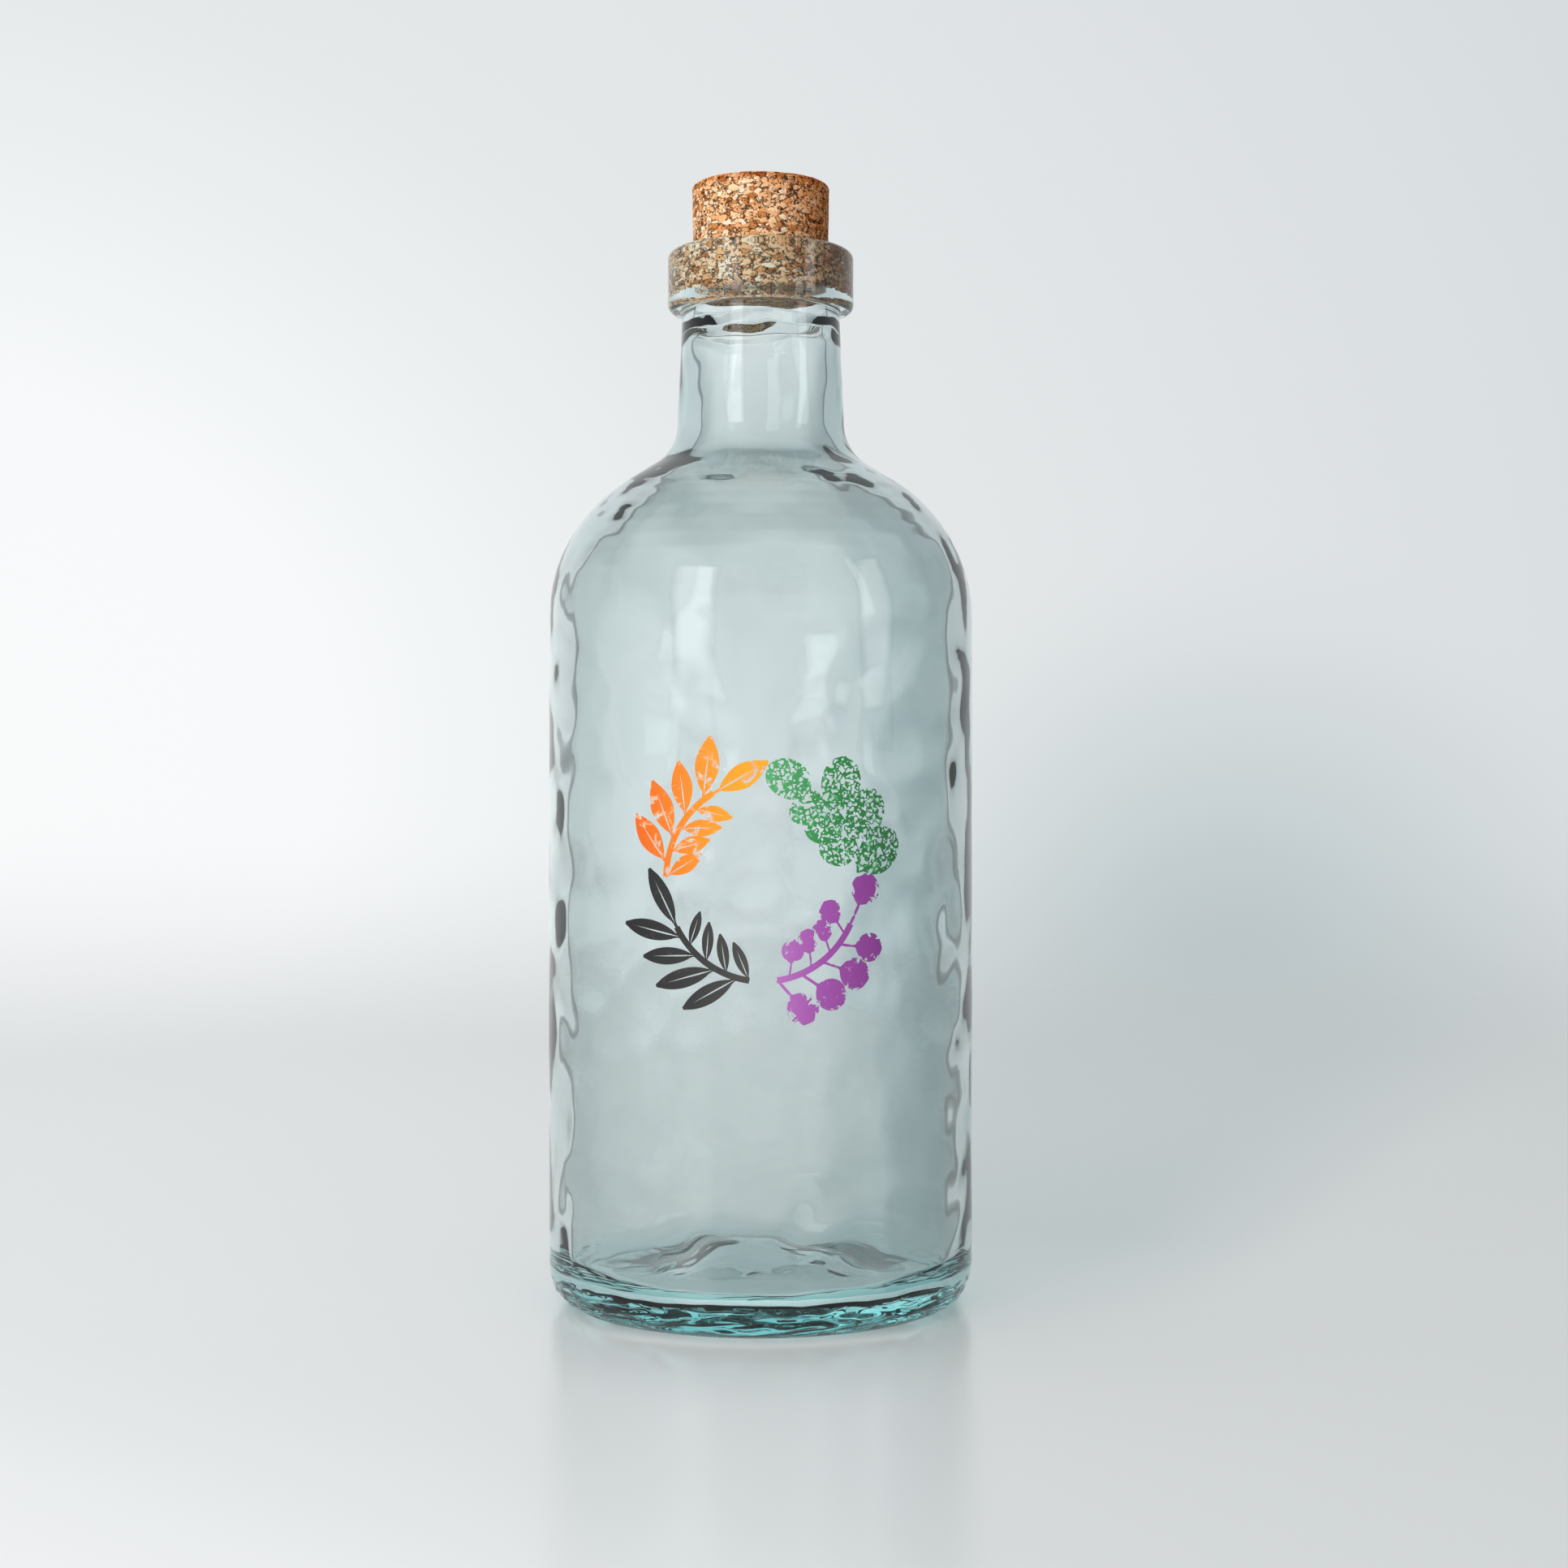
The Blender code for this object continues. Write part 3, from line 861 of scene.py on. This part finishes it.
# The stage: a pale satin floor that fades into pale air, two tall softboxes and soft light from all round
stage = {
    "eyeDistance": 0.4494,
    "eyeRight": 0.0043,
    "eyeHeight": 0.0948,
    "lens": 55.9,
    "clip": 0.01,
    "floorReach": 8.5,
    "fadeStart": 0.42,
    "fadeEnd": 8.0,
    "floor": "#E9ECED",
    # Painted light before the bottle, painted shade to the right, painted light under the heel's front and a
    # painted shadow pool behind
    "floorNearLight": "#F9FAFB",
    "nearWay": (-0.6, -0.8, 0.0),
    "nearFrom": (0.09, 0.20),
    "floorRightShade": "#DFE3E4",
    "rightFrom": (-0.06, 0.06),
    "underHeelLight": "#FFFFFF",
    "contactFrom": (0.043, 0.038),
    "contactAhead": (-0.024, -0.034),
    "shade": "#C4CFD1",
    "shadeFrom": (0.036, 0.0, 0.0),
    "shadeTurn": math.radians(14.5),
    "shadeWidth": 0.05,
    "shadeSpread": 0.22,
    "shadeEdge": (1.0, 0.25),
    "shadeBehind": (-0.02, 0.08),
    "floorRoughness": 0.2,
}


def floorMesh():
    # One big triangle: with no edge inside it, nothing shows as a line
    mesh = bpy.data.meshes.new("studioFloor")
    reach = stage["floorReach"]
    wide = reach * math.sqrt(3)
    mesh.from_pydata([(-wide, -reach, 0), (wide, -reach, 0), (0, 2 * reach, 0)], [], [(0, 1, 2)])
    return mesh


def floorMaterial():
    # Satin painted board: pale, with a faint soft reflection, and fading out into the air around it. Painted
    # light before the bottle and under the front of its heel, painted shade to the right and a painted pool of
    # shadow behind it.
    material, add = newMaterial("satinBoard")
    place = add("ShaderNodeTexCoord", None, "Object")
    sideways, inDepth, _ = add(separate, [place], None).outputs
    reach = add(vectors, [place], "Value", operation="LENGTH")
    nearness = add(maths, [1.0, reach], operation="DIVIDE")
    fade = add(mapRange, [nearness, 1 / stage["fadeStart"], 1 / stage["fadeEnd"]], **softly)
    right = add(mapRange, [sideways, *stage["rightFrom"]], **softly)
    ahead = add(vectors, [place, stage["nearWay"]], "Value", operation="DOT_PRODUCT")
    near = add(mapRange, [ahead, *stage["nearFrom"]], **softly)
    close = add(mapRange, [reach, *stage["contactFrom"]], **softly)
    before = add(mapRange, [inDepth, *stage["contactAhead"]])
    underHeelLight = add(maths, [close, before], **times)
    centred = add(vectors, [place, stage["shadeFrom"]], operation="SUBTRACT")
    turning = {"Vector": centred, "Angle": stage["shadeTurn"]}
    turned = add("ShaderNodeVectorRotate", turning, rotation_type="Z_AXIS")
    off, back, _ = add(separate, [turned], None).outputs
    wide = add(maths, [back, stage["shadeSpread"], stage["shadeWidth"]], **timesPlus)
    offShare = add(maths, [off, wide], operation="DIVIDE")
    aside = add(maths, [offShare], operation="ABSOLUTE")
    middle = add(mapRange, [aside, *stage["shadeEdge"]], **softly)
    behind = add(mapRange, [back, *stage["shadeBehind"]], **softly)
    pool = add(maths, [middle, behind], **times)
    painted = colour(stage["floor"])
    # Painted shade to the right, painted light before the bottle and under the heel's front, and a painted
    # shadow pool
    for share, tint in ((right, "floorRightShade"), (near, "floorNearLight"), (underHeelLight, "underHeelLight"), (pool, "shade")):
        painted = add(mix, {"Factor": share, "A": painted, "B": colour(stage[tint])}, **inColour)
    board = add("ShaderNodeBsdfPrincipled", {
        "Base Color": painted, "Roughness": stage["floorRoughness"], "Specular IOR Level": 0.3,
    })
    clear = add("ShaderNodeBsdfTransparent")
    surface = add("ShaderNodeMixShader", [fade, board, clear])
    add("ShaderNodeOutputMaterial", {"Surface": surface}, None)
    return material


floor = newObject("studioFloor", floorMesh())
floor.data.materials.append(floorMaterial())


def worldAir():
    # Pale air all round, brightest behind the bottle and to the left. What it sheds on matt surfaces is plainer,
    # and what the glass has thrown back three times or more is all but gone. What reaches a matt surface through
    # the glass is weaker.
    air = {
        "brightWay": (-0.36, 0.93, 0.02),
        "steepness": (1.0, 1.0, 1.3),
        "tones": [
            (0.0, "#F9FBFB"), (0.06, "#F7F9FA"), (0.12, "#E5E9EA"), (0.18, "#DFE3E5"), (0.3, "#CED4D6"),
            (0.5, "#BCC3C5"),
        ],
        "shedLeft": "#B8BABB",
        "shedRight": "#74736F",
        "shedFrom": (-0.6, 0.6),
        "shadeWay": (0.175, 0.98, -0.075),
        "shadeReach": math.radians(10.5),
        "shade": "#D9E2E3",
        "through": 0.45,
        "trapped": 0.05,
        "trappedFrom": 2.5,
    }
    world = bpy.data.worlds.new("studioAir")
    bpy.context.scene.world = world
    world.use_nodes = True
    world.node_tree.nodes.clear()
    add = partial(addNode, world.node_tree)
    way = add("ShaderNodeTexCoord", None, "Generated")
    steep = add(vectors, [way, air["steepness"]], **times)
    unit = add(vectors, [steep], operation="NORMALIZE")
    toBright = Vector(air["brightWay"]).normalized()
    dot = add(vectors, [unit, toBright], "Value", operation="DOT_PRODUCT")
    away = add(maths, [dot], operation="ARCCOSINE")
    share = add(maths, [away, math.pi], operation="DIVIDE")
    tones = add("ShaderNodeValToRGB", [share], stops=air["tones"])
    toShade = Vector(air["shadeWay"]).normalized()
    cosine = add(vectors, [way, toShade], "Value", operation="DOT_PRODUCT")
    aside = add(maths, [cosine], operation="ARCCOSINE")
    dim = add(mapRange, [aside, air["shadeReach"], 0.0], **softly)
    tints = {"Factor": dim, "A": tones, "B": colour(air["shade"])}
    shaded = add(mix, tints, blend_type="MULTIPLY", **inColour)
    rays = add("ShaderNodeLightPath", None, None).outputs
    through = rays["Is Transmission Ray"]
    clear = add(maths, [rays["Is Glossy Ray"], through], operation="MAXIMUM")
    notMatt = add(maths, [rays["Diffuse Depth"], 0.5], operation="LESS_THAN")
    mirrored = add(maths, [clear, notMatt], **times)
    seen = add(maths, [rays["Is Camera Ray"], mirrored], operation="MAXIMUM")
    sideways = add(separate, [way])
    rightShare = add(mapRange, [sideways, *air["shedFrom"]])
    tints = {"Factor": rightShare, "A": colour(air["shedLeft"]), "B": colour(air["shedRight"])}
    shed = add(mix, tints, **inColour)
    mixed = add(mix, {"Factor": seen, "A": shed, "B": shaded}, **inColour)
    stray = add(maths, [through, mirrored], operation="SUBTRACT", use_clamp=True)
    kept = add(maths, [stray, air["through"] - 1.0, 1.0], **timesPlus)
    caught = add(maths, [rays["Glossy Depth"], air["trappedFrom"]], operation="GREATER_THAN")
    passed = add(maths, [caught, air["trapped"] - 1.0, 1.0], **timesPlus)
    strength = add(maths, [kept, passed], **times)
    glow = add("ShaderNodeBackground", {"Color": mixed, "Strength": strength})
    add("ShaderNodeOutputWorld", {"Surface": glow}, None)


worldAir()

# Softboxes show in mirror images alone, and the big lamps light what is matt. Angles are in degrees: the azimuth
# is to the right of the camera's side, and the tilt looks down. The name says which of the two kinds it is.
lamps = {
    "leftSoftbox": {
        "azimuth": -35, "distance": 1.2, "height": 0.49, "tilt": 0, "size": (0.55, 0.78), "power": 2.9,
    },
    "rightSoftbox": {
        "azimuth": 63, "distance": 1.2, "height": 0.49, "tilt": 0, "size": (0.42, 0.78), "power": 2.5,
    },
    "keyLamp": {
        "azimuth": -33, "distance": 1.25, "height": 0.36, "tilt": 14, "size": (0.64, 0.64), "power": 8.0,
    },
    "overheadLamp": {
        "azimuth": -30, "distance": 0.5, "height": 1.5, "tilt": 72, "size": (1.4, 1.4), "power": 1.9,
    },
}
clothEdge = {"half": 0.5, "softFrom": (0.22, 0.36)}


def clothMaterial(name, strength):
    # White diffusion cloth over a lamp, brightest in the middle and soft at its edges, for mirror images alone
    material, add = newMaterial(name)
    matt = add("ShaderNodeLightPath", None, "Diffuse Depth")
    shown = add(maths, [matt, 0.5], operation="LESS_THAN")
    glow = add(maths, [shown, strength], **times)
    place = add("ShaderNodeTexCoord", None, "UV")
    centred = add(vectors, [place, (clothEdge["half"], clothEdge["half"], 0.0)], operation="SUBTRACT")
    sides = add(vectors, [centred], operation="ABSOLUTE")
    parts = add(separate, [sides], None).outputs
    for part, start in zip(parts, clothEdge["softFrom"]):
        edge = add(mapRange, [part, start, clothEdge["half"], 1.0, 0.0], **softly)
        glow = add(maths, [edge, glow], **times)
    shader = add("ShaderNodeEmission", {"Strength": glow})
    add("ShaderNodeOutputMaterial", {"Surface": shader}, None)
    material.cycles.emission_sampling = "NONE"
    return material


def lampPlace(lamp):
    # Out from the bottle, looking back and down at it
    azimuth, tilt = math.radians(lamp["azimuth"]), math.radians(lamp["tilt"])
    away = Vector((lamp["distance"] * math.sin(azimuth), -lamp["distance"] * math.cos(azimuth), lamp["height"]))
    return Matrix.LocRotScale(away, Euler((math.pi / 2 - tilt, 0, azimuth)), None)


def softbox(name, lamp):
    # A flat lamp that only mirror images and clear glass show
    mesh = bpy.data.meshes.new(name)
    wide, tall = lamp["size"]
    place = lampPlace(lamp)
    corners = [(-0.5, -0.5), (0.5, -0.5), (0.5, 0.5), (-0.5, 0.5)]
    mesh.from_pydata([place @ Vector((x * wide, y * tall, 0)) for x, y in corners], [], [(0, 3, 2, 1)])
    uv = mesh.uv_layers.new(name="cloth")
    uv.data.foreach_set("uv", [0, 0, 0, 1, 1, 1, 1, 0])
    mesh.materials.append(clothMaterial(name, lamp["power"]))
    piece = newObject(name, mesh)
    piece.visible_camera = False
    piece.visible_diffuse = False
    piece.visible_shadow = False


def bigLamp(name, lamp):
    # A large soft lamp that lights the matt surfaces and throws the soft shadow, with no mirror image of its own
    light = bpy.data.lights.new(name, "AREA")
    wide, tall = lamp["size"]
    light.shape, light.size, light.size_y = "RECTANGLE", wide, tall
    light.energy = lamp["power"] * math.pi * wide * tall
    piece = newObject(name, light)
    piece.matrix_world = lampPlace(lamp)
    piece.visible_camera = False
    piece.visible_glossy = False
    piece.visible_transmission = False


for name, lamp in lamps.items():
    (softbox if name.endswith("Softbox") else bigLamp)(name, lamp)

cameraData = bpy.data.cameras.new("camera")
cameraData.lens = stage["lens"]
cameraData.clip_start = stage["clip"]
camera = newObject("camera", cameraData)
camera.location = (stage["eyeRight"], -stage["eyeDistance"], stage["eyeHeight"])
camera.rotation_euler = (math.pi / 2, 0, 0)
bpy.context.scene.camera = camera
bpy.context.scene.view_settings.view_transform = "Standard"
print("stage, lamps and camera set")
